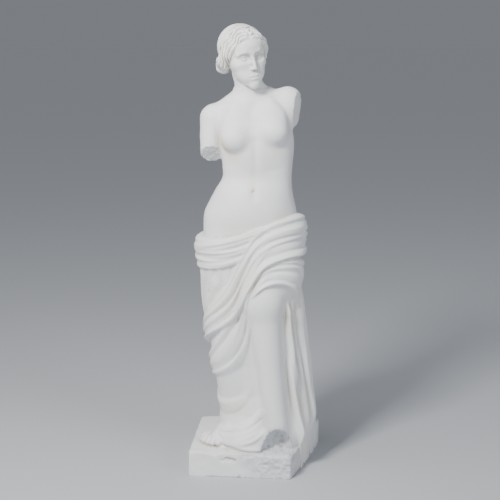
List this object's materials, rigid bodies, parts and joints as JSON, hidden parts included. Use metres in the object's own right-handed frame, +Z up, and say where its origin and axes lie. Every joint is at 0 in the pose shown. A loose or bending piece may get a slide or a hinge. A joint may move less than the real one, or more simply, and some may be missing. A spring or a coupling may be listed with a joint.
{
  "type": "aphrodite statue",
  "caption": "White cast of a half-draped classical goddess, arms broken off, standing on a low rough-edged plinth cast in one with it.",
  "frame": {"origin": "middle of the underside of the plinth", "axes": "+Z up, the figure's chest faces -Y, +X to the figure's left"},
  "size_m": [0.1832, 0.1576, 0.6004],
  "materials": {
    "cast": "matte white plaster cast with a faint cream tint in the hollows"
  },
  "bodies": {
    "root": {"statue": "cast"}
  },
  "joints": []
}
